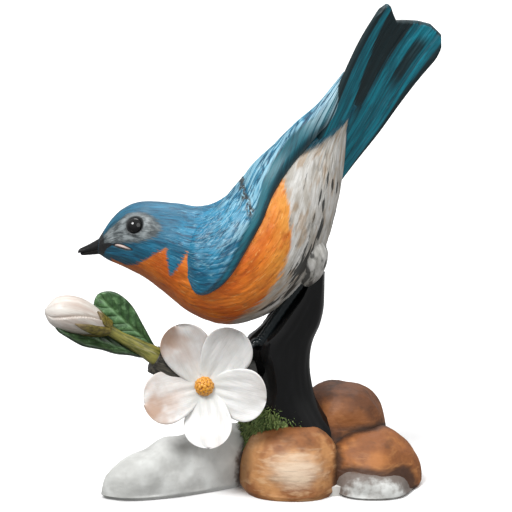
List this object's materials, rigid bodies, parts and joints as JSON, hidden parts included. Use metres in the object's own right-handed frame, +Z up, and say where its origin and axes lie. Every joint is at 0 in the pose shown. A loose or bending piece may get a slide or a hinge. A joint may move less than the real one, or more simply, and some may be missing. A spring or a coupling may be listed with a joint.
{
  "type": "songbird figurine",
  "caption": "Porcelain songbird perched head-down on a glazed stump above a rock base, with an open flower, a bud and leaves on a side twig.",
  "frame": {"origin": "on the flat underside of the base, near the middle of its length and under the stump", "axes": "+Z up; +X from the bird's head to its tail, seen from the side; -Y out of the bird's left side, towards the open flower"},
  "size_m": [0.12, 0.0511, 0.1495],
  "materials": {
    "bird_paint": "satin bisque painted blue above, orange on the breast and flanks and white below",
    "wing_blue": "satin bisque, bright blue feathers with darker bands and black covert marks",
    "tail_teal": "satin bisque, teal feathers with black edges and a black centre streak",
    "beak_black": "black gloss enamel",
    "eye_black": "high-gloss black enamel",
    "thigh_white": "satin white feathers with grey-brown streaks",
    "leg_black": "black gloss enamel with a bluish sheen",
    "stump_black": "thick gloss black glaze",
    "twig_brown": "satin grey-brown bark",
    "stem_olive": "satin olive-yellow",
    "leaf_green": "satin green with darker veins and edge",
    "bud_ivory": "satin white with a pink-brown blush",
    "sepal_olive": "satin olive-brown",
    "petal_white": "satin white bisque with a faint pink-tan blush at the tips",
    "button_gold": "satin golden orange",
    "moss_green": "rough combed slip, painted moss green",
    "rock_grey": "satin white marbled with grey",
    "rock_tan": "satin tan-brown wash brushed over white",
    "rock_brown": "satin dark brown wash",
    "rock_white": "satin off-white",
    "foot_bisque": "unglazed white bisque"
  },
  "bodies": {
    "root": {"bird_body": "bird_paint", "wing_left": "wing_blue", "wing_right": "wing_blue", "tail": "tail_teal", "beak_upper": "beak_black", "beak_lower": "beak_black", "eye_left": "eye_black", "eye_right": "eye_black", "thigh_left": "thigh_white", "thigh_right": "thigh_white", "leg_left": "leg_black", "leg_right": "leg_black", "foot_left": "leg_black", "foot_right": "leg_black", "stump": "stump_black", "twig": "twig_brown", "stem": "stem_olive", "leaf_upper": "leaf_green", "leaf_lower": "leaf_green", "bud": "bud_ivory", "bud_sepals": "sepal_olive", "calyx": "sepal_olive", "petal_1": "petal_white", "petal_2": "petal_white", "petal_3": "petal_white", "petal_4": "petal_white", "petal_5": "petal_white", "flower_button": "button_gold", "moss": "moss_green", "rock_grey": "rock_grey", "rock_front": "rock_tan", "rock_right": "rock_tan", "rock_back": "rock_brown", "rock_white": "rock_white", "foot_plate": "foot_bisque"}
  },
  "joints": []
}
